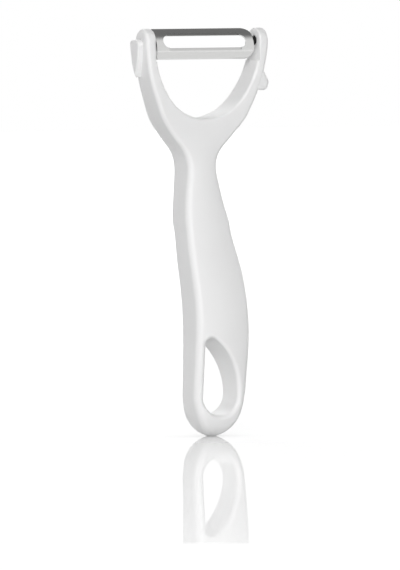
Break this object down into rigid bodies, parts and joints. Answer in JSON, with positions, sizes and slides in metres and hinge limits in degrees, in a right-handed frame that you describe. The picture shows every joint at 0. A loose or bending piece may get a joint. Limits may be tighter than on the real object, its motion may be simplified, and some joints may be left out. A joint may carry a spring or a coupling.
{
  "type": "vegetable peeler",
  "caption": "Y-shaped vegetable peeler: curved moulded handle with a hanging hole, a slotted steel blade that swivels between the arms, and a nub for potato eyes.",
  "frame": {"origin": "middle of the hanging hole's round end, half way through the handle, where the hook or peg goes", "axes": "+Z from the handle's end towards the blade, +Y through the hanging hole to the back of the peeler, +X across the arms to the side with the nub"},
  "size_m": [0.0619, 0.0289, 0.1698],
  "materials": {
    "handle_plastic": "white moulded plastic, satin gloss",
    "blade_steel": "polished stainless strip with ground edges",
    "stud_steel": "turned stainless"
  },
  "bodies": {
    "handle": {"handle": "handle_plastic"},
    "blade": {"blade": "blade_steel", "pivot_stud_left": "stud_steel", "pivot_stud_right": "stud_steel"}
  },
  "joints": [
    {"name": "blade_swivel", "type": "hinge", "parent": "handle", "child": "blade", "pos_m": [-0.002, 0.00578, 0.1477], "axis": [1, 0, 0], "continuous": true}
  ]
}
